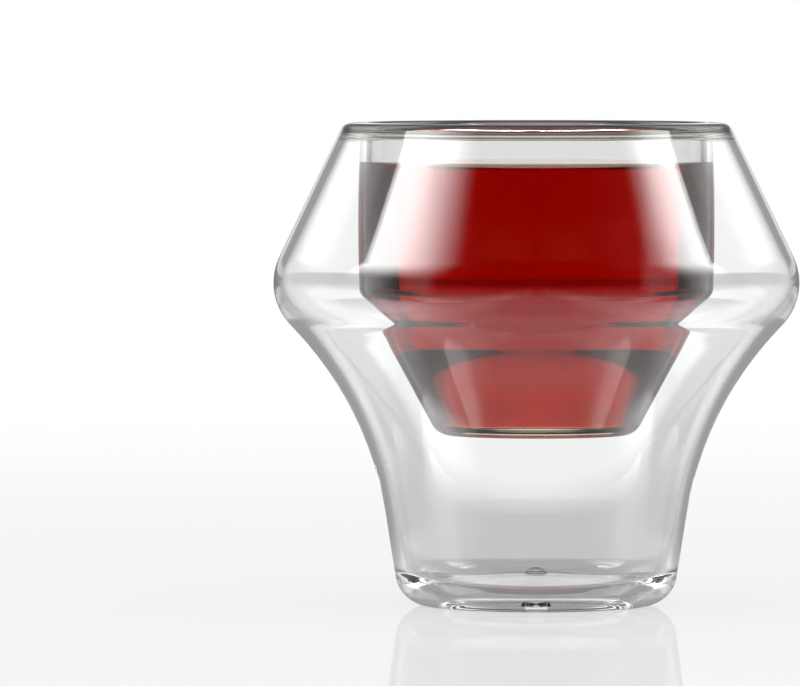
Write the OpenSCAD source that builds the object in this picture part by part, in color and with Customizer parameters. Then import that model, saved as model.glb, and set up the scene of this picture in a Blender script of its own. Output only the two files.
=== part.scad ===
// Double walled espresso glass. A drinking bowl hangs inside a blown body,
// the two are fused by a rim, and a melted bead closes the vent in the base.
// The axis of the glass is Z and the foot stands on Z = 0.

/* [Body] */
// Height from the foot to the top of the rim
cup_h = 72; // [68:0.2:76]
// Outside diameter at the rim, measured at the weld
rim_d = 59.4; // [57:0.2:62]
// Outside diameter at the belly, the widest place
belly_d = 78.3; // [76:0.1:82]
// Height of the widest place above the foot
belly_h = 48.1; // [46.5:0.1:49.5]
// Radius of the outside round of the belly
belly_round_r = 9; // [7:0.1:10]
// Lean of the wall just below the belly, away from upright
slope_angle = 43.5; // [40:0.5:46]
// Outside radius of the long flare between foot and slope
flare_r = 52; // [38:1:54]
// Outside diameter at the foot, where wall and base would meet
foot_d = 40.6; // [39:0.1:42.5]
// Lean of the lower wall, away from upright
foot_draft = 8.8; // [5:0.1:10]
// Radius of the outside round at the foot
foot_round_r = 5.1; // [4.4:0.1:5.4]

/* [Body walls] */
// Wall of the cone between belly and rim
upper_wall = 1.3; // [1:0.1:1.8]
// Wall of the slope below the belly, where the blown glass gathers
belly_wall = 1.7; // [1.2:0.1:2.2]
// Wall of the lower body
lower_wall = 1.6; // [1.2:0.1:2.2]

/* [Base] */
// Inner diameter of the flat ring that the glass stands on
stand_d = 29; // [27:0.2:30.4]
// Rise of the hollow underside above the stand ring
punt_rise = 3.2; // [2.6:0.1:3.6]
// Height of the floor inside the cavity, at the end of its dome
floor_h = 3; // [2.8:0.1:3.8]
// Diameter of the domed part of that floor
floor_dome_d = 28; // [24:0.5:29]
// Rise of that dome
floor_dome_rise = 2.1; // [1.8:0.1:2.6]
// Radius of the round between that floor and the lower wall
floor_round_r = 4; // [2.5:0.1:4.5]

/* [Bowl] */
// Outside diameter of the bowl at the weld
bowl_top_d = 52.4; // [51:0.1:53]
// Outside diameter of the bowl just above its shoulder
bowl_d = 52.8; // [51:0.1:54]
// How far the blown wall swells between weld and shoulder
bowl_swell = 0.2; // [0:0.05:0.5]
// Height of the bowl's shoulder above the foot
bowl_shoulder_h = 45.7; // [43.5:0.1:47.5]
// Radius of the outside round of the shoulder
bowl_shoulder_r = 2.6; // [2.2:0.1:3]
// Lean of the short slope below the shoulder, away from upright
bowl_slope_angle = 41; // [36:0.5:46]
// Outside diameter where that slope runs into the cone
bowl_neck_d = 46.7; // [45.5:0.1:47.5]
// Outside radius of the blend between slope and cone
bowl_neck_r = 24; // [12:1:28]
// Outside diameter of the bowl's base, where cone and base would meet
bowl_base_d = 29.4; // [27.6:0.2:32]
// Height of the bowl's underside above the foot
bowl_base_h = 25.8; // [23:0.2:28.6]
// Radius of the outside round at the bowl's base
bowl_base_round_r = 3; // [2.6:0.1:4]
// Wall of the bowl
bowl_wall = 1.7; // [1.2:0.1:2]
// Thickness of the bowl's base
bowl_base_wall = 2; // [1.5:0.1:3]

/* [Rim] */
// Depth of the weld below the top of the rim
weld_drop = 2.3; // [2.2:0.1:3.2]
// Fall of the rim's crown from the mouth outwards
crown_fall = 4; // [0:0.5:8]
// Radius of the outside round of the rim
rim_round_r = 1.5; // [0.8:0.1:1.6]
// Radius of the round at the mouth
lip_round_r = 1.4; // [0.8:0.1:1.6]
// Rise of the cavity's roof into the rim
roof_rise = 0.7; // [0.5:0.1:1]
// Radius of the rounds at the edges of the roof
roof_round_r = 0.6; // [0.2:0.1:0.6]

/* [Vent] */
// Diameter of the vent through the base
vent_d = 2.2; // [1.6:0.1:2.8]
// Diameter of the flat place round the vent, above and below
vent_pad_d = 3.6; // [3.4:0.1:5]
// Diameter of the bead under the base
bead_d = 3.2; // [3:0.1:3.4]
// How far the bead stands below the base
bead_h = 1.1; // [0.7:0.1:1.3]
// Diameter of the bead's cap above the floor
cap_d = 2.9; // [2.85:0.05:3.3]
// Height of that cap
cap_h = 0.3; // [0.2:0.1:0.6]

/* [Hidden] */

// Turn between two neighbouring points of an arc
arc_step = 3;
// Points along a dome and along the swell of the bowl
dome_steps = 12;
swell_steps = 16;
$fn = 96;

glass_colour = [0.88, 0.94, 0.95, 0.45];
bowl_colour = [0.80, 0.90, 0.92, 0.55];
rim_colour = [0.62, 0.64, 0.58, 0.70];
bead_colour = [0.70, 0.76, 0.76, 0.80];

upright = 90;
// Share of the free slope that a long blend may fill
blend_room_share = 0.98;
// Share of the foot inside its round that the hollow underside may take
stand_room_share = 0.96;
weld_h = cup_h - weld_drop;

// Lines are [point, heading], and headings turn up from the radial direction.
function heading(a) = [cos(a), sin(a)];
function unit(v) = v / norm(v);
function turn_from(u, v) = atan2(cross(u, v), u * v);

// Where two lines meet
function meet(line_a, line_b) =
    let (a = heading(line_a[1]), b = heading(line_b[1]))
    line_a[0] + a * cross(line_b[0] - line_a[0], b) / cross(a, b);

// A line moved to the left of its heading, into a wall that is walked upwards
function inset(line, wall) = [line[0] + wall * heading(line[1] + upright), line[1]];

// Where a line reaches a height
function at_height(line, z) = meet(line, [[0, z], 0]);

// Points of the arc that rounds one corner
function corner_arc(before, corner, after, r) =
    let (
        u = unit(before - corner),
        v = unit(after - corner),
        half = acos(u * v) / 2,
        centre = corner + unit(u + v) * r / sin(half),
        from = corner + u * r / tan(half) - centre,
        to = corner + v * r / tan(half) - centre,
        turn = turn_from(from, to),
        steps = ceil(abs(turn) / arc_step)
    )
    [for (i = [0 : steps]) centre + r * heading(atan2(from[1], from[0]) + turn * i / steps)];

// A closed outline from corners, each [point, radius of its round]
function rounded(corners) =
    let (n = len(corners))
    [for (i = [0 : n - 1])
        let (
            before = corners[(i + n - 1) % n][0],
            corner = corners[i][0],
            after = corners[(i + 1) % n][0],
            r = corners[i][1]
        )
        each r == 0 ? [corner] : corner_arc(before, corner, after, r)];

// Corners without rounds
function sharp(points) = [for (p = points) [p, 0]];

// Radius of the sphere behind a dome
function dome_r(edge_r, rise) = (edge_r * edge_r + rise * rise) / (2 * rise);

// Height of a dome over its edge, at a distance from the axis
function dome_z(edge_r, rise, r) =
    let (sphere_r = dome_r(edge_r, rise))
    sqrt(sphere_r * sphere_r - r * r) - sphere_r + rise;

// Points along a dome that starts at height z, from one radius to another
function dome(edge_r, rise, z, r_from, r_to) =
    [for (i = [0 : dome_steps])
        let (r = r_from + (r_to - r_from) * i / dome_steps)
        [r, z + dome_z(edge_r, rise, r)]];

// The body's outside: lower wall, slope tangent to the belly, cone tangent to
// the belly and through the rim
belly_centre = [belly_d / 2 - belly_round_r, belly_h];
rim_point = [rim_d / 2, weld_h];
to_rim = rim_point - belly_centre;
cone_normal = atan2(to_rim[1], to_rim[0]) - acos(belly_round_r / norm(to_rim));
lower_line = [[foot_d / 2, 0], upright - foot_draft];
slope_line = [belly_centre + belly_round_r * heading(-slope_angle), upright - slope_angle];
cone_line = [rim_point, upright + cone_normal];
flare_corner = meet(lower_line, slope_line);
belly_corner = meet(slope_line, cone_line);

// The flare takes at most the length that the belly's round leaves on the slope
belly_reach = belly_round_r * tan((slope_angle + cone_normal) / 2);
flare_room = norm(belly_corner - flare_corner) - belly_reach;
flare_fit_r = min(flare_r, blend_room_share * flare_room / tan((slope_angle - foot_draft) / 2));

// The body's inside, one wall further in
lower_inside = inset(lower_line, lower_wall);
slope_inside = inset(slope_line, belly_wall);
cone_inside = inset(cone_line, upper_wall);

// Domes of the base: the hollow underside and the floor of the cavity
foot_flat_r = foot_d / 2 - foot_round_r * tan((upright - foot_draft) / 2);
stand_r = min(stand_d / 2, stand_room_share * foot_flat_r);
floor_dome_r = floor_dome_d / 2;
vent_r = vent_d / 2;
vent_pad_r = vent_pad_d / 2;
vent_low_h = dome_z(stand_r, punt_rise, vent_pad_r);
vent_high_h = floor_h + dome_z(floor_dome_r, floor_dome_rise, vent_pad_r);
floor_edge = [floor_dome_r, floor_h];
floor_line = [floor_edge, -asin(floor_dome_r / dome_r(floor_dome_r, floor_dome_rise))];

body_corners = concat(
    sharp([[vent_r, vent_low_h]]),
    sharp(dome(stand_r, punt_rise, 0, vent_pad_r, stand_r)),
    [
        [[foot_d / 2, 0], foot_round_r],
        [flare_corner, flare_fit_r],
        [belly_corner, belly_round_r],
        [rim_point, 0],
        [at_height(cone_inside, weld_h), 0],
        [meet(slope_inside, cone_inside), belly_round_r - belly_wall],
        [meet(lower_inside, slope_inside), flare_fit_r + lower_wall],
        [meet(floor_line, lower_inside), floor_round_r]
    ],
    sharp(dome(floor_dome_r, floor_dome_rise, floor_h, floor_dome_r, vent_pad_r)),
    sharp([[vent_r, vent_high_h]])
);

// The bowl's outside: base, cone, short slope, swelling wall
bowl_r = bowl_d / 2;
bowl_top_r = bowl_top_d / 2;
bowl_base_r = bowl_base_d / 2;
bowl_neck_r_out = bowl_neck_d / 2;
bowl_neck_h = bowl_shoulder_h - (bowl_r - bowl_neck_r_out) / tan(bowl_slope_angle);
bowl_base_corner = [bowl_base_r, bowl_base_h];
bowl_neck = [bowl_neck_r_out, bowl_neck_h];
bowl_shoulder = [bowl_r, bowl_shoulder_h];
bowl_cone_angle = atan2(bowl_neck_h - bowl_base_h, bowl_neck[0] - bowl_base_r);
bowl_base_line = [bowl_base_corner, 0];
bowl_cone_line = [bowl_base_corner, bowl_cone_angle];
bowl_slope_line = [bowl_shoulder, upright - bowl_slope_angle];
bowl_side_line = [bowl_shoulder, upright];

// The blend at the neck takes at most the length that the shoulder's round leaves
bowl_neck_turn = bowl_cone_angle + bowl_slope_angle - upright;
bowl_neck_room = norm(bowl_shoulder - bowl_neck) - bowl_shoulder_r * tan(bowl_slope_angle / 2);
bowl_neck_fit_r = min(bowl_neck_r, blend_room_share * bowl_neck_room / tan(bowl_neck_turn / 2));

// The bowl's inside, one wall further in
bowl_floor_line = inset(bowl_base_line, bowl_base_wall);
bowl_cone_inside = inset(bowl_cone_line, bowl_wall);
bowl_slope_inside = inset(bowl_slope_line, bowl_wall);
bowl_side_inside = inset(bowl_side_line, bowl_wall);

// The swelling wall starts above the shoulder's round
swell_start_h = bowl_shoulder_h + bowl_shoulder_r;
mouth_r = bowl_top_r - bowl_wall;
function swell_r(share) =
    bowl_r + (bowl_top_r - bowl_r) * share + bowl_swell * sin(2 * upright * share);
function swell_wall(wall) =
    [for (i = [0 : swell_steps])
        let (share = i / swell_steps)
        [swell_r(share) - wall, swell_start_h + (weld_h - swell_start_h) * share]];
function backwards(points) = [for (i = [len(points) - 1 : -1 : 0]) points[i]];

bowl_corners = concat(
    sharp([[0, bowl_base_h]]),
    [
        [bowl_base_corner, bowl_base_round_r],
        [bowl_neck, bowl_neck_fit_r],
        [bowl_shoulder, bowl_shoulder_r]
    ],
    sharp(swell_wall(0)),
    sharp(backwards(swell_wall(bowl_wall))),
    [
        [meet(bowl_slope_inside, bowl_side_inside), bowl_shoulder_r - bowl_wall],
        [meet(bowl_cone_inside, bowl_slope_inside), bowl_neck_fit_r + bowl_wall],
        [meet(bowl_floor_line, bowl_cone_inside), bowl_base_round_r - bowl_wall]
    ],
    sharp([[0, bowl_base_h + bowl_base_wall]])
);

// The rim: seats on both walls, roofs the cavity and carries the cone on
lip_centre = [mouth_r + lip_round_r, cup_h - lip_round_r];
crown_line = [lip_centre + lip_round_r * heading(upright - crown_fall), -crown_fall];
mouth_line = [[mouth_r, weld_h], upright];
roof_outer_r = at_height(cone_inside, weld_h)[0];
rim_corners = [
    [[mouth_r, weld_h], 0],
    [[bowl_top_r, weld_h], 0],
    [[bowl_top_r, weld_h + roof_rise], roof_round_r],
    [[roof_outer_r, weld_h + roof_rise], roof_round_r],
    [[roof_outer_r, weld_h], 0],
    [rim_point, 0],
    [meet(cone_line, crown_line), rim_round_r],
    [meet(mouth_line, crown_line), lip_round_r]
];

// The bead: a stem through the vent, a drop below and a cap above
bead_r = bead_d / 2;
cap_r = cap_d / 2;
bead_outline = concat(
    [for (p = dome(bead_r, bead_h, 0, 0, bead_r)) [p[0], vent_low_h - p[1]]],
    [[vent_r, vent_low_h], [vent_r, vent_high_h]],
    dome(cap_r, cap_h, vent_high_h, cap_r, 0)
);

// Blown body: belly, flare, foot and hollow base with its vent
module outer_glass() {
    color(glass_colour)
        rotate_extrude()
            polygon(rounded(body_corners));
}

// Drinking bowl, hung inside the body
module inner_glass() {
    color(bowl_colour)
        rotate_extrude()
            polygon(rounded(bowl_corners));
}

// Fused rim over both walls
module rim_seal() {
    color(rim_colour)
        rotate_extrude()
            polygon(rounded(rim_corners));
}

// Melted bead in the vent
module vent_seal() {
    color(bead_colour)
        rotate_extrude()
            polygon(bead_outline);
}

outer_glass();
inner_glass();
rim_seal();
vent_seal();
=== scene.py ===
"""Double walled espresso glass with a dark red drink, standing on a pale table."""

import math

import bpy
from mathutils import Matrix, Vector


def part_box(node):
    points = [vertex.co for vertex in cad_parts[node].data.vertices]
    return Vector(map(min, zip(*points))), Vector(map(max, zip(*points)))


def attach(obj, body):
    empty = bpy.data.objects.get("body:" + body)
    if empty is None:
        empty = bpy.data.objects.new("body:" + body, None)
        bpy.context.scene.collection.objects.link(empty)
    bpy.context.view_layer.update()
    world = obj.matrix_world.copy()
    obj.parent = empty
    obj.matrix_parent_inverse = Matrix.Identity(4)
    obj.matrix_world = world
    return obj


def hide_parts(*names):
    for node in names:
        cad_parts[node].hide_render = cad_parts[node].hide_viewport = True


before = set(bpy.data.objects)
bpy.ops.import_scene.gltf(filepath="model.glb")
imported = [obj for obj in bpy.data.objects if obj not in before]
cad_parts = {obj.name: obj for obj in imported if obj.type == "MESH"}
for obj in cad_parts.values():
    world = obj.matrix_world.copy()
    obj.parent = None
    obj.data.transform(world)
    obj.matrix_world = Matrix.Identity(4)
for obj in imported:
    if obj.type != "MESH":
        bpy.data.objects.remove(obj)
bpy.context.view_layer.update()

MM = 0.001
MERGE = 0.001 * MM
SPIN_STEPS = 240
SMOOTH_ANGLE = math.radians(30)

# How far a piece reaches into the glass it is fused to
WELD_LAP = 0.08 * MM
STEM_LAP = 0.1 * MM
DRINK_LAP = 0.15 * MM

# Places on the glass, and how many times taller the bead's cap is made
WELD_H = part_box("outer_glass")[1][2]
FLOOR_TOP_H = 5.07 * MM
CAP_GROWTH = 2.5
BOWL_MIDDLE_H = 46.0 * MM
BOWL_INSIDE_R = 24.7 * MM
DRINK_H = 65.95 * MM

# The drink's edge creeps up the wall: rings inwards, each with its width and fall
MENISCUS = (
    (0.12 * MM, 0.30 * MM),
    (0.20 * MM, 0.27 * MM),
    (0.30 * MM, 0.20 * MM),
    (0.45 * MM, 0.15 * MM),
    (0.70 * MM, 0.09 * MM),
    (1.00 * MM, 0.04 * MM),
)

# Clear glass: two tones that it drifts between, and its faint ripple
GLASS_IOR = 1.47
CLEAR_TONES = ((0.995, 0.998, 0.997), (0.982, 0.99, 0.988))
RIM_TONES = ((0.93, 0.94, 0.91), (0.88, 0.9, 0.86))
BEAD_TONES = ((0.95, 0.97, 0.96), (0.93, 0.95, 0.94))
DRIFT_PLACES = (0.3, 0.7)
GLASS_DRIFT_SCALE = 60.0
RIPPLE_SCALE = 90.0
RIPPLE_STRETCH = (1, 1, 2.5)
RIPPLE_DETAIL = 1.0
RIPPLE_STRENGTH = 0.02
RIPPLE_DEPTH = 0.1 * MM

# The rim is tinted in its depth, and has painted shade at its top
RIM_DEPTH_TINT = (0.42, 0.46, 0.34)
RIM_DEPTH_DENSITY = 100.0
# Painted shade on the rim's top: from one height to the next its colour falls to this share
RIM_SHADE_FROM_H = 71.2 * MM
RIM_SHADE_TO_H = 71.5 * MM
RIM_SHADE = 0.1

DRINK_IOR = 1.34
DRINK_TONES = ((1.0, 0.97, 0.95), (0.97, 0.93, 0.9))
DRINK_DRIFT_SCALE = 40.0
DRINK_DEPTH_TINT = (0.945, 0.66, 0.05)
DRINK_DEPTH_DENSITY = 400.0

# The table, in metres from the middle of the foot
TABLE_R = 0.7
TABLE_SIDES = 96
TABLE_TOP_H = -0.02 * MM
TABLE_TONES = ((0.93, 0.93, 0.93), (0.96, 0.96, 0.96))
TABLE_DRIFT_PLACES = (0.2, 0.8)
TABLE_DRIFT_SCALE = 3.0
TABLE_ROUGHNESS = 0.6
TABLE_SHEEN = 0.25
SHEEN_ROUGHNESS = 0.03
TABLE_LIFT = 0.84
TABLE_FADE_FROM = 0.1
TABLE_FADE_TO = 0.65

# Painted light and shade on the table as the glass bends or mirrors it: where its tone changes, and to
# what
BENT_FADE_FROM = 0.06
BENT_FADE_TO = 0.1
# Painted shade in front of the foot, painted light to its sides and painted shade far to its sides
FRONT_PAINTED_SHADE = 0.5
SIDE_PAINTED_LIGHT = 1.1
SIDE_FROM = 0.025
SIDE_TO = 0.045
WIDE_PAINTED_SHADE = 0.4
WIDE_FROM = 0.055
WIDE_TO = 0.07
# Painted shade behind the foot
BACK_PAINTED_SHADE = 0.55
BACK_FROM = 0.01
BACK_TO = 0.05
# Painted light under the foot, and a painted contact shadow in a ring round it
UNDER_FOOT_PAINTED_LIGHT = 2.0
UNDER_FOOT_R = 0.012
CONTACT_PAINTED_SHADOW = 0.7
CONTACT_INNER_R = 0.015
CONTACT_OUTER_R = 0.021
CONTACT_END_R = 0.025

# The camera stands in front. Its lens and sensor are in millimetres, its pitch in degrees
CAMERA_LENS = 388.7
CAMERA_SENSOR = 36
CAMERA_X = -0.0203
CAMERA_DISTANCE = 1.286
CAMERA_H = 0.0877
CAMERA_PITCH = 2.164

# A ray's turns are whole numbers, so each limit lies halfway between two
NO_TURN = 0.5
ONE_TURN = 1.5
FIVE_TURNS = 5.5

# Directions in degrees. Azimuth 0 is behind the glass, seen from the camera
SCREEN_TURN = 45
SCREEN_EDGE = 28
SCREEN_END = 30
GAP_TONE = 0.04
GAP_EDGE = 8
GAP_END = 14
GAP_OUTER_TONE = 0.65
HORIZON_TONE = 0.62
HORIZON_LOW = -3.2
HORIZON_HIGH = -2.5
NEAR_LOW = -8
NEAR_HIGH = -5
BACK_EDGE = 26
BACK_END = 34
BAND_RISE_FROM = 1.3
BAND_RISE_TO = 2.2
BAND_FALL_FROM = 4.5
BAND_FALL_TO = 7
BAND_LIGHT = 0.7
CEILING_FROM = 62
CEILING_TO = 68
CEILING_LIGHT = 1.0

# The mirrored room round the glass: azimuth, tone
HALF_TURN = 180
ROOM = (
    (0, 0.33),
    (26, 0.33),
    (34, 0.8),
    (72, 0.8),
    (79, 0.5),
    (88, 0.9),
    (102, 1.2),
    (112, 0.03),
    (150, 0.0),
    (180, 0.0),
)

# Each panel: its two azimuths and two elevations, each with the width of its soft
# edge, and its light
PANELS = (
    (((-140, 42), (-84, 2), (12, 26), (50, 4)), 10),
    (((84, 2), (122, 36), (12, 26), (50, 4)), 10),
    (((-70, 20), (-15, 10), (12, 8), (55, 6)), 1.2),
    (((15, 10), (70, 20), (12, 8), (55, 6)), 1.2),
)

# The strip above the camera reaches both ways round to the front
STRIP = ((90, 20), (181, 1), (51.1, 0.5), (64, 4))
STRIP_LIGHT = 60

LIGHT_BOUNCES = 64


# Modelling

def select_none():
    """Deselects everything."""
    bpy.ops.object.select_all(action="DESELECT")


def only(piece):
    """Makes one object the selected and active one."""
    select_none()
    piece.select_set(True)
    bpy.context.view_layer.objects.active = piece


def copy_of(node, name):
    """A new object with a merged copy of a CAD node's mesh."""
    piece = bpy.data.objects.new(name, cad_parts[node].data.copy())
    bpy.context.scene.collection.objects.link(piece)
    only(piece)
    bpy.ops.object.mode_set(mode="EDIT")
    bpy.ops.mesh.select_all(action="SELECT")
    bpy.ops.mesh.remove_doubles(threshold=MERGE)
    bpy.ops.object.mode_set(mode="OBJECT")
    piece.data.materials.clear()
    return piece


def drop(piece, unwanted):
    """Deletes the vertices whose place is unwanted."""
    only(piece)
    bpy.ops.object.mode_set(mode="EDIT")
    bpy.ops.mesh.select_mode(type="VERT")
    bpy.ops.mesh.select_all(action="DESELECT")
    bpy.ops.object.mode_set(mode="OBJECT")
    for vertex in piece.data.vertices:
        vertex.select = unwanted(vertex.co)
    bpy.ops.object.mode_set(mode="EDIT")
    bpy.ops.mesh.delete(type="VERT")
    bpy.ops.object.mode_set(mode="OBJECT")


def off_outline(place):
    """True away from the half outline that the CAD mesh has along +X."""
    return abs(place.y) > MERGE or place.x < -MERGE


def half_outline(node, name):
    """A new object with only the half outline of a CAD node."""
    piece = copy_of(node, name)
    drop(piece, off_outline)
    return piece


def spin_round(piece):
    """Turns a half outline into a closed, smooth body of revolution."""
    only(piece)
    bpy.ops.object.mode_set(mode="EDIT")
    bpy.ops.mesh.select_all(action="SELECT")
    bpy.ops.mesh.spin(steps=SPIN_STEPS, angle=2 * math.pi, center=(0, 0, 0), axis=(0, 0, 1))
    bpy.ops.mesh.select_all(action="SELECT")
    bpy.ops.mesh.remove_doubles(threshold=MERGE)
    bpy.ops.mesh.fill_holes(sides=0)
    bpy.ops.mesh.select_all(action="SELECT")
    bpy.ops.mesh.normals_make_consistent(inside=False)
    bpy.ops.object.mode_set(mode="OBJECT")
    bpy.ops.object.shade_smooth_by_angle(angle=SMOOTH_ANGLE)


def finish_piece(piece, material, node):
    """Paints a piece and puts it in the place of its CAD node."""
    piece.data.materials.append(material)
    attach(piece, "root")
    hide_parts(node)


def add_body(material):
    """Blown outer body."""
    piece = half_outline("outer_glass", "outer_body")
    spin_round(piece)
    finish_piece(piece, material, "outer_glass")


def add_bowl(material):
    """Drinking bowl that hangs inside the body."""
    piece = half_outline("inner_glass", "drinking_bowl")
    spin_round(piece)
    finish_piece(piece, material, "inner_glass")


def add_rim(material):
    """Fused rim, which laps a little into both walls."""
    piece = half_outline("rim_seal", "fused_rim")
    for vertex in piece.data.vertices:
        if abs(vertex.co.z - WELD_H) < MERGE:
            vertex.co.z -= WELD_LAP
    spin_round(piece)
    finish_piece(piece, material, "rim_seal")


def add_bead(material):
    """Melted bead that closes the vent, with its cap made taller."""
    piece = half_outline("vent_seal", "vent_bead")
    for vertex in piece.data.vertices:
        if vertex.co.x > MERGE:
            vertex.co.x += STEM_LAP
        if vertex.co.z > FLOOR_TOP_H:
            vertex.co.z = FLOOR_TOP_H + (vertex.co.z - FLOOR_TOP_H) * CAP_GROWTH
    spin_round(piece)
    finish_piece(piece, material, "vent_seal")


def joined(piece, index):
    """How many edges meet at a vertex."""
    return sum(index in edge.vertices for edge in piece.data.edges)


def keep_inside_wall(piece):
    """Keeps the part of the bowl's half outline that holds the drink."""
    ends = [v for v in piece.data.vertices if joined(piece, v.index) == 1]
    start = max(ends, key=lambda v: v.co.z).index
    near = {}
    for edge in piece.data.edges:
        first, second = edge.vertices
        near.setdefault(first, []).append(second)
        near.setdefault(second, []).append(first)
    wall = [start]
    while piece.data.vertices[wall[-1]].co.z < WELD_H - MERGE:
        wall.append(next(n for n in near[wall[-1]] if n not in wall))
    places = {tuple(piece.data.vertices[i].co) for i in wall}
    drop(piece, lambda place: tuple(place) not in places)


def cut_level(piece):
    """Cuts the drink off level and raises its edge along the wall."""
    only(piece)
    bpy.ops.object.mode_set(mode="EDIT")
    bpy.ops.mesh.select_all(action="SELECT")
    bpy.ops.mesh.bisect(
        plane_co=(0, 0, DRINK_H), plane_no=(0, 0, 1), use_fill=True, clear_outer=True
    )
    for width, fall in MENISCUS:
        bpy.ops.mesh.inset(thickness=width)
        bpy.ops.transform.translate(value=(0, 0, -fall))
    bpy.ops.mesh.select_all(action="SELECT")
    bpy.ops.mesh.normals_make_consistent(inside=False)
    bpy.ops.object.mode_set(mode="OBJECT")
    bpy.ops.object.shade_smooth_by_angle(angle=SMOOTH_ANGLE)


def add_drink(material):
    """The drink: the bowl's inside wall, let into the glass a little and cut off level."""
    piece = half_outline("inner_glass", "drink")
    keep_inside_wall(piece)
    grow = 1 + DRINK_LAP / BOWL_INSIDE_R
    for vertex in piece.data.vertices:
        vertex.co.x *= grow
        vertex.co.z = BOWL_MIDDLE_H + (vertex.co.z - BOWL_MIDDLE_H) * grow
    spin_round(piece)
    cut_level(piece)
    piece.data.materials.append(material)
    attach(piece, "root")


# Shader helpers

def set_or_link(tree, socket, value):
    """Gives a socket a number, or links another node's output to it."""
    if isinstance(value, (int, float)):
        socket.default_value = value
    else:
        tree.links.new(value, socket)


def add_node(tree, kind, **inputs):
    """Adds a shader node and sets its inputs by name."""
    node = tree.nodes.new(kind)
    for name, value in inputs.items():
        node.inputs[name.replace("_", " ")].default_value = value
    return node


def math_node(tree, operation, *values):
    """A Math node whose inputs are numbers or other nodes' outputs."""
    node = tree.nodes.new("ShaderNodeMath")
    node.operation = operation
    for socket, value in zip(node.inputs, values):
        set_or_link(tree, socket, value)
    return node.outputs[0]


def blend_value(tree, factor, first, second):
    """A value that goes from first to second with the factor."""
    node = tree.nodes.new("ShaderNodeMix")
    node.data_type = "FLOAT"
    set_or_link(tree, node.inputs[0], factor)
    set_or_link(tree, node.inputs[2], first)
    set_or_link(tree, node.inputs[3], second)
    return node.outputs[0]


def step_value(tree, value, low, high, first, second):
    """first below low, second above high, and a smooth slope between."""
    node = tree.nodes.new("ShaderNodeMapRange")
    node.interpolation_type = "SMOOTHSTEP"
    tree.links.new(value, node.inputs["Value"])
    node.inputs["From Min"].default_value = low
    node.inputs["From Max"].default_value = high
    node.inputs["To Min"].default_value = first
    node.inputs["To Max"].default_value = second
    return node.outputs["Result"]


def degree_step(tree, value, low, high, first, second):
    """The same slope for an angle, with low and high in degrees."""
    return step_value(tree, value, math.radians(low), math.radians(high), first, second)


def ramp(tree, factor, stops):
    """A colour ramp from (place, colour) stops."""
    node = tree.nodes.new("ShaderNodeValToRGB")
    points = node.color_ramp.elements
    while len(points) < len(stops):
        points.new(0.5)
    for point, (place, colour) in zip(points, stops):
        point.position = place
        point.color = (*colour, 1)
    tree.links.new(factor, node.inputs["Fac"])
    return node.outputs["Color"]


def scaled_colour(tree, colour, share):
    """A colour multiplied by a value."""
    node = tree.nodes.new("ShaderNodeVectorMath")
    node.operation = "SCALE"
    tree.links.new(colour, node.inputs[0])
    tree.links.new(share, node.inputs["Scale"])
    return node.outputs["Vector"]


def mix_shaders(tree, factor, first, second):
    """A shader that goes from first to second with the factor."""
    node = tree.nodes.new("ShaderNodeMixShader")
    set_or_link(tree, node.inputs["Fac"], factor)
    tree.links.new(first, node.inputs[1])
    tree.links.new(second, node.inputs[2])
    return node.outputs["Shader"]


def object_noise(tree, scale, stretch=(1, 1, 1), detail=2.0):
    """Noise that stays on the object, with its features stretched."""
    place = tree.nodes.new("ShaderNodeTexCoord")
    mapping = tree.nodes.new("ShaderNodeMapping")
    mapping.inputs["Scale"].default_value = stretch
    tree.links.new(place.outputs["Object"], mapping.inputs["Vector"])
    noise = add_node(tree, "ShaderNodeTexNoise", Scale=scale, Detail=detail)
    tree.links.new(mapping.outputs["Vector"], noise.inputs["Vector"])
    return noise.outputs["Fac"]


def drifting_colour(tree, scale, places, tones):
    """A colour that drifts between two tones over the object."""
    return ramp(tree, object_noise(tree, scale), list(zip(places, tones)))


def early_ray(tree, path):
    """1 for a ray that has met nothing matt yet."""
    return math_node(tree, "LESS_THAN", path.outputs["Diffuse Depth"], NO_TURN)


def bent_ray(tree, path, early):
    """1 for an early ray that was last bent or mirrored."""
    bent = math_node(tree, "MAXIMUM", path.outputs["Is Glossy Ray"], path.outputs["Is Transmission Ray"])
    return math_node(tree, "MULTIPLY", bent, early)


# Materials

def new_material(name):
    """An empty material with its tree, shader and output."""
    material = bpy.data.materials.new(name)
    material.use_nodes = True
    tree = material.node_tree
    tree.nodes.clear()
    output = tree.nodes.new("ShaderNodeOutputMaterial")
    shader = tree.nodes.new("ShaderNodeBsdfPrincipled")
    tree.links.new(shader.outputs["BSDF"], output.inputs["Surface"])
    return material, tree, shader, output


def clear_through(shader, ior):
    """Makes a shader clear and polished, and bend light as glass or a drink does."""
    shader.inputs["Transmission Weight"].default_value = 1.0
    shader.inputs["IOR"].default_value = ior
    shader.inputs["Roughness"].default_value = 0.0


def tinted_depth(material, colour, density):
    """Lets a clear material swallow light along its depth."""
    tree = material.node_tree
    output = next(n for n in tree.nodes if n.type == "OUTPUT_MATERIAL")
    volume = tree.nodes.new("ShaderNodeVolumeAbsorption")
    volume.inputs["Color"].default_value = (*colour, 1)
    volume.inputs["Density"].default_value = density
    tree.links.new(volume.outputs["Volume"], output.inputs["Volume"])


def glass(name, tones):
    """Clear blown glass: faint colour drift, faint ripple round the axis."""
    material, tree, shader, _ = new_material(name)
    clear_through(shader, GLASS_IOR)
    colour = drifting_colour(tree, GLASS_DRIFT_SCALE, DRIFT_PLACES, tones)
    tree.links.new(colour, shader.inputs["Base Color"])
    bump = add_node(tree, "ShaderNodeBump", Strength=RIPPLE_STRENGTH, Distance=RIPPLE_DEPTH)
    ripple = object_noise(tree, RIPPLE_SCALE, RIPPLE_STRETCH, RIPPLE_DETAIL)
    tree.links.new(ripple, bump.inputs["Height"])
    tree.links.new(bump.outputs["Normal"], shader.inputs["Normal"])
    return material


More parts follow.
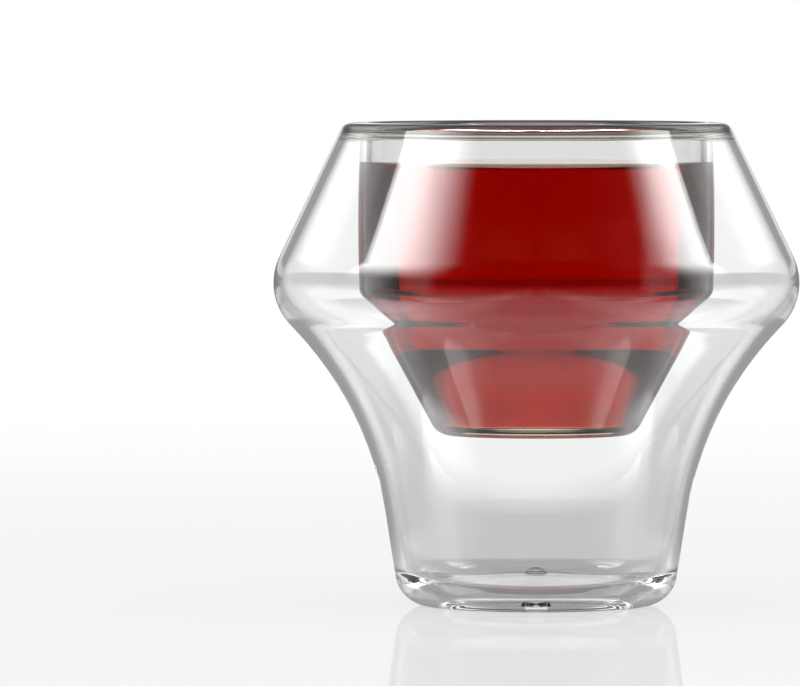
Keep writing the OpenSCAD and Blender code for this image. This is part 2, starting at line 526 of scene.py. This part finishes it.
def shade_top(material, low, high, share):
    """Paints shade into a glass's colour above a height, in place of the dark room that the rim bends
    into view.
    """
    tree = material.node_tree
    shader = next(n for n in tree.nodes if n.type == "BSDF_PRINCIPLED")
    colour = shader.inputs["Base Color"]
    source = colour.links[0].from_socket
    place = tree.nodes.new("ShaderNodeTexCoord")
    split = tree.nodes.new("ShaderNodeSeparateXYZ")
    tree.links.new(place.outputs["Object"], split.inputs["Vector"])
    # Painted shade: the glass's colour is darkened above the height
    shade = step_value(tree, split.outputs["Z"], low, high, 1.0, share)
    tree.links.new(scaled_colour(tree, source, shade), colour)


def tinted_rim_glass_with_painted_shade():
    """Grey green glass of the rim, with painted shade at its top."""
    material = glass("grey_green_rim_glass", RIM_TONES)
    tinted_depth(material, RIM_DEPTH_TINT, RIM_DEPTH_DENSITY)
    shade_top(material, RIM_SHADE_FROM_H, RIM_SHADE_TO_H, RIM_SHADE)
    return material


def red_drink():
    """Clear dark red drink that turns orange where it is thin."""
    material, tree, shader, _ = new_material("red_drink")
    clear_through(shader, DRINK_IOR)
    colour = drifting_colour(tree, DRINK_DRIFT_SCALE, DRIFT_PLACES, DRINK_TONES)
    tree.links.new(colour, shader.inputs["Base Color"])
    tinted_depth(material, DRINK_DEPTH_TINT, DRINK_DEPTH_DENSITY)
    return material


def table_place(tree):
    """Places on the table: its sockets across and away, and the distance from the middle."""
    place = tree.nodes.new("ShaderNodeTexCoord")
    split = tree.nodes.new("ShaderNodeSeparateXYZ")
    tree.links.new(place.outputs["Object"], split.inputs["Vector"])
    length = tree.nodes.new("ShaderNodeVectorMath")
    length.operation = "LENGTH"
    tree.links.new(place.outputs["Object"], length.inputs[0])
    return split.outputs["X"], split.outputs["Y"], length.outputs["Value"]


def bent_table_painted_shading(tree, across, away, distance):
    """Painted light and shade on the table where the glass bends or mirrors it, by place, with a painted
    contact shadow round the foot.
    """
    aside = math_node(tree, "ABSOLUTE", across)
    # Painted shade in front, painted light to the sides, and painted shade far to the sides
    front = step_value(tree, aside, SIDE_FROM, SIDE_TO, FRONT_PAINTED_SHADE, SIDE_PAINTED_LIGHT)
    far_side_painted_shade = step_value(tree, aside, WIDE_FROM, WIDE_TO, 1.0, WIDE_PAINTED_SHADE)
    front = math_node(tree, "MULTIPLY", front, far_side_painted_shade)
    # Painted shade behind the foot
    depth = step_value(tree, away, BACK_FROM, BACK_TO, 0.0, 1.0)
    ground_painted_shading = blend_value(tree, depth, front, BACK_PAINTED_SHADE)
    # Painted light under the foot, then a painted contact shadow in a ring round it
    inside = step_value(
        tree, distance, UNDER_FOOT_R, CONTACT_INNER_R, UNDER_FOOT_PAINTED_LIGHT, CONTACT_PAINTED_SHADOW
    )
    outside = step_value(tree, distance, CONTACT_OUTER_R, CONTACT_END_R, 0.0, 1.0)
    foot_painted_shading = math_node(tree, "MAXIMUM", inside, outside)
    return math_node(tree, "MULTIPLY", ground_painted_shading, foot_painted_shading)


def table_fade(tree, away, distance, seen):
    """1 where the table has faded out, which is sooner for what the glass bends."""
    far = step_value(tree, distance, TABLE_FADE_FROM, TABLE_FADE_TO, 0.0, 1.0)
    bent_far = step_value(tree, away, BENT_FADE_FROM, BENT_FADE_TO, 0.0, 1.0)
    return math_node(tree, "MAXIMUM", far, math_node(tree, "MULTIPLY", bent_far, seen))


def table_top():
    """Pale table with a faint sheen that fades out into the background, with painted light and shade
    where the glass bends or mirrors it.
    """
    material, tree, shader, output = new_material("table_top")
    across, away, distance = table_place(tree)
    path = tree.nodes.new("ShaderNodeLightPath")
    early = early_ray(tree, path)
    seen = bent_ray(tree, path, early)

    pale = drifting_colour(tree, TABLE_DRIFT_SCALE, TABLE_DRIFT_PLACES, TABLE_TONES)
    # Painted light and shade on the table, only for early rays that the glass has bent or mirrored
    tone = blend_value(tree, seen, 1.0, bent_table_painted_shading(tree, across, away, distance))
    colour = scaled_colour(tree, pale, tone)
    tree.links.new(colour, shader.inputs["Base Color"])
    shader.inputs["Roughness"].default_value = TABLE_ROUGHNESS
    shader.inputs["Specular IOR Level"].default_value = 0.0

    # A part of what is seen of it glows in its own pale colour, a painted light which lifts the shadow;
    # where the glass bends it, the glow carries the painted light and shade too
    glow = tree.nodes.new("ShaderNodeEmission")
    tree.links.new(colour, glow.inputs["Color"])
    lift = math_node(tree, "MULTIPLY", early, TABLE_LIFT)
    lifted = mix_shaders(tree, lift, shader.outputs["BSDF"], glow.outputs["Emission"])

    sheen = tree.nodes.new("ShaderNodeBsdfGlossy")
    sheen.inputs["Roughness"].default_value = SHEEN_ROUGHNESS
    polished = mix_shaders(tree, TABLE_SHEEN, lifted, sheen.outputs["BSDF"])

    clear = tree.nodes.new("ShaderNodeBsdfTransparent")
    fade = table_fade(tree, away, distance, seen)
    faded = mix_shaders(tree, fade, polished, clear.outputs["BSDF"])
    tree.links.new(faded, output.inputs["Surface"])
    return material


# The studio

def add_table():
    """The table top and its place in the stage."""
    select_none()
    bpy.ops.mesh.primitive_circle_add(
        vertices=TABLE_SIDES, radius=TABLE_R, fill_type="NGON", location=(0, 0, TABLE_TOP_H)
    )
    table = bpy.context.object
    table.name = "table_top"
    table.data.materials.append(table_top())


def add_camera():
    """A long lens a little above the rim, looking slightly down."""
    data = bpy.data.cameras.new("camera")
    data.lens = CAMERA_LENS
    data.sensor_width = CAMERA_SENSOR
    camera = bpy.data.objects.new("camera", data)
    camera.location = (CAMERA_X, -CAMERA_DISTANCE, CAMERA_H)
    camera.rotation_euler = (math.radians(90 - CAMERA_PITCH), 0, 0)
    bpy.context.scene.collection.objects.link(camera)
    bpy.context.scene.camera = camera


def box_mask(tree, azimuth, elevation, panel):
    """1 inside a light panel and 0 outside it, each edge with its own softness."""
    start, end, bottom, top = panel
    mask = 1.0
    for angle, (edge, soft) in ((azimuth, start), (elevation, bottom)):
        share = degree_step(tree, angle, edge, edge + soft, 0.0, 1.0)
        mask = math_node(tree, "MULTIPLY", share, mask)
    for angle, (edge, soft) in ((azimuth, end), (elevation, top)):
        share = degree_step(tree, angle, edge - soft, edge, 1.0, 0.0)
        mask = math_node(tree, "MULTIPLY", share, mask)
    return mask


def screen_light(tree, azimuth, elevation):
    """White screens seen through the glass, with grey between them and at the horizon."""
    off_screen = math_node(tree, "PINGPONG", azimuth, math.radians(SCREEN_TURN))
    beside = degree_step(tree, off_screen, SCREEN_EDGE, SCREEN_END, 0.0, 1.0)
    steep = math_node(tree, "ABSOLUTE", elevation)
    gap = degree_step(tree, steep, GAP_EDGE, GAP_END, GAP_TONE, GAP_OUTER_TONE)
    below = degree_step(tree, elevation, HORIZON_LOW, HORIZON_HIGH, 1.0, 0.0)
    above = degree_step(tree, elevation, NEAR_LOW, NEAR_HIGH, 0.0, 1.0)
    shade = math_node(tree, "MULTIPLY", below, above)
    behind = blend_value(tree, shade, 1.0, HORIZON_TONE)
    return blend_value(tree, beside, behind, gap)


def wall_light(tree, away):
    """The mirrored room: grey behind, pale beside, dark at the front."""
    turn = math_node(tree, "DIVIDE", away, math.pi)
    return ramp(tree, turn, [(degrees / HALF_TURN, (tone,) * 3) for degrees, tone in ROOM])


def band_light(tree, elevation, back, outer):
    """A low band of light behind, which only rays outside the glass meet."""
    rise = degree_step(tree, elevation, BAND_RISE_FROM, BAND_RISE_TO, 0.0, BAND_LIGHT)
    fall = degree_step(tree, elevation, BAND_FALL_FROM, BAND_FALL_TO, 1.0, 0.0)
    band = math_node(tree, "MULTIPLY", math_node(tree, "MULTIPLY", rise, fall), outer)
    return math_node(tree, "MULTIPLY", back, band)


def strip_light(tree, path, away, elevation, outer):
    """A strip of light above the camera that shows only as the first thing mirrored."""
    strip = math_node(tree, "MULTIPLY", box_mask(tree, away, elevation, STRIP), STRIP_LIGHT)
    once = math_node(tree, "LESS_THAN", path.outputs["Glossy Depth"], ONE_TURN)
    return math_node(tree, "MULTIPLY", strip, math_node(tree, "MULTIPLY", outer, once))


def room_light(tree, path, azimuth, elevation, back):
    """All that the glass mirrors: the room, its panels, its strip and its ceiling."""
    away = math_node(tree, "ABSOLUTE", azimuth)
    outer = math_node(tree, "LESS_THAN", path.outputs["Transmission Depth"], NO_TURN)
    lit = math_node(tree, "ADD", wall_light(tree, away), band_light(tree, elevation, back, outer))
    for panel, strength in PANELS:
        mask = box_mask(tree, azimuth, elevation, panel)
        lit = math_node(tree, "ADD", lit, math_node(tree, "MULTIPLY", mask, strength))
    lit = math_node(tree, "ADD", lit, strip_light(tree, path, away, elevation, outer))
    ceiling = degree_step(tree, elevation, CEILING_FROM, CEILING_TO, 0.0, CEILING_LIGHT)
    return math_node(tree, "ADD", lit, ceiling)


def add_studio_light():
    """A white world, in which the glass shows screens through it and a room mirrored."""
    world = bpy.data.worlds.new("studio")
    bpy.context.scene.world = world
    world.use_nodes = True
    tree = world.node_tree
    tree.nodes.clear()
    output = tree.nodes.new("ShaderNodeOutputWorld")
    place = tree.nodes.new("ShaderNodeTexCoord")
    split = tree.nodes.new("ShaderNodeSeparateXYZ")
    tree.links.new(place.outputs["Generated"], split.inputs["Vector"])
    azimuth = math_node(tree, "ARCTAN2", split.outputs["X"], split.outputs["Y"])
    elevation = math_node(tree, "ARCSINE", split.outputs["Z"])
    path = tree.nodes.new("ShaderNodeLightPath")

    turned = math_node(tree, "ABSOLUTE", azimuth)
    back = degree_step(tree, turned, BACK_EDGE, BACK_END, 1.0, 0.0)
    screens = screen_light(tree, azimuth, elevation)
    room = room_light(tree, path, azimuth, elevation, back)

    # A ray that has been through many walls meets only the screen behind
    deep = math_node(tree, "GREATER_THAN", path.outputs["Transmission Depth"], FIVE_TURNS)
    room = blend_value(tree, deep, room, math_node(tree, "MULTIPLY", back, screens))
    mirrored = math_node(tree, "GREATER_THAN", path.outputs["Glossy Depth"], NO_TURN)
    through = blend_value(tree, mirrored, screens, room)
    bent = bent_ray(tree, path, early_ray(tree, path))
    strength = blend_value(tree, bent, 1.0, through)

    background = tree.nodes.new("ShaderNodeBackground")
    background.inputs["Color"].default_value = (1, 1, 1, 1)
    tree.links.new(strength, background.inputs["Strength"])
    tree.links.new(background.outputs["Background"], output.inputs["Surface"])


def set_up_look():
    """Colour management and light bounces for nested glass."""
    scene = bpy.context.scene
    scene.view_settings.view_transform = "Standard"
    scene.cycles.max_bounces = LIGHT_BOUNCES
    scene.cycles.transmission_bounces = LIGHT_BOUNCES
    scene.cycles.glossy_bounces = LIGHT_BOUNCES
    scene.cycles.sample_clamp_indirect = 0


add_body(glass("clear_body_glass", CLEAR_TONES))
add_bowl(glass("clear_bowl_glass", CLEAR_TONES))
add_rim(tinted_rim_glass_with_painted_shade())
add_bead(glass("clear_bead_glass", BEAD_TONES))
add_drink(red_drink())
add_table()
add_camera()
add_studio_light()
set_up_look()
